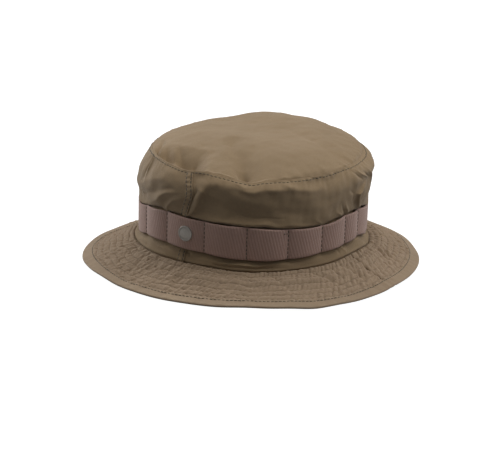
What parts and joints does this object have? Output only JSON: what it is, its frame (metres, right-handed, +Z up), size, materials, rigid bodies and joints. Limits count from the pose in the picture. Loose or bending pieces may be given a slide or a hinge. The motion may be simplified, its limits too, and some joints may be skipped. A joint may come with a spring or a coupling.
{
  "type": "boonie hat",
  "caption": "Soft round sun hat with a wide quilted brim, a flat-topped crown and a band of webbing loops round the crown.",
  "frame": {"origin": "under the middle of the hat, on the plane that the brim edge rests on", "axes": "+Z up through the crown, -Y towards the front of the hat, +X towards the wearer's left"},
  "size_m": [0.2668, 0.2828, 0.103],
  "materials": {
    "crown_cloth": "washed cotton-nylon poplin, matt",
    "brim_cloth": "washed ripstop poplin, quilted",
    "binding_cloth": "plain woven binding",
    "interlining": "stiff woven interlining",
    "webbing": "ribbed nylon webbing",
    "sweatband_cloth": "soft lined band",
    "tape": "twill seam tape",
    "thread": "twisted polyester thread",
    "badge": "satin moulded",
    "washer": "plain steel",
    "label": "white satin ribbon"
  },
  "bodies": {
    "hat": {"crown_top": "crown_cloth", "crown_side_left": "crown_cloth", "crown_side_right": "crown_cloth", "top_seam_tape": "tape", "front_seam_tape": "tape", "back_seam_tape": "tape", "brim_top_front": "brim_cloth", "brim_top_back": "brim_cloth", "brim_interlining_front": "interlining", "brim_interlining_back": "interlining", "brim_under_front": "brim_cloth", "brim_under_back": "brim_cloth", "brim_edge_binding": "binding_cloth", "sweatband": "sweatband_cloth", "loop_webbing": "webbing", "webbing_tack_thread": "thread", "brim_quilting_thread": "thread", "binding_thread": "thread", "crown_top_thread": "thread", "sweatband_thread": "thread", "front_seam_thread": "thread", "back_seam_thread": "thread", "badge_cap": "badge", "badge_washer": "washer"},
    "care_label": {"care_label": "label"}
  },
  "joints": [
    {"name": "care_label_flap", "type": "hinge", "parent": "hat", "child": "care_label", "pos_m": [0, 0.09141, 0.049], "axis": [-1, 0, 0], "range_deg": [0, 150]}
  ]
}
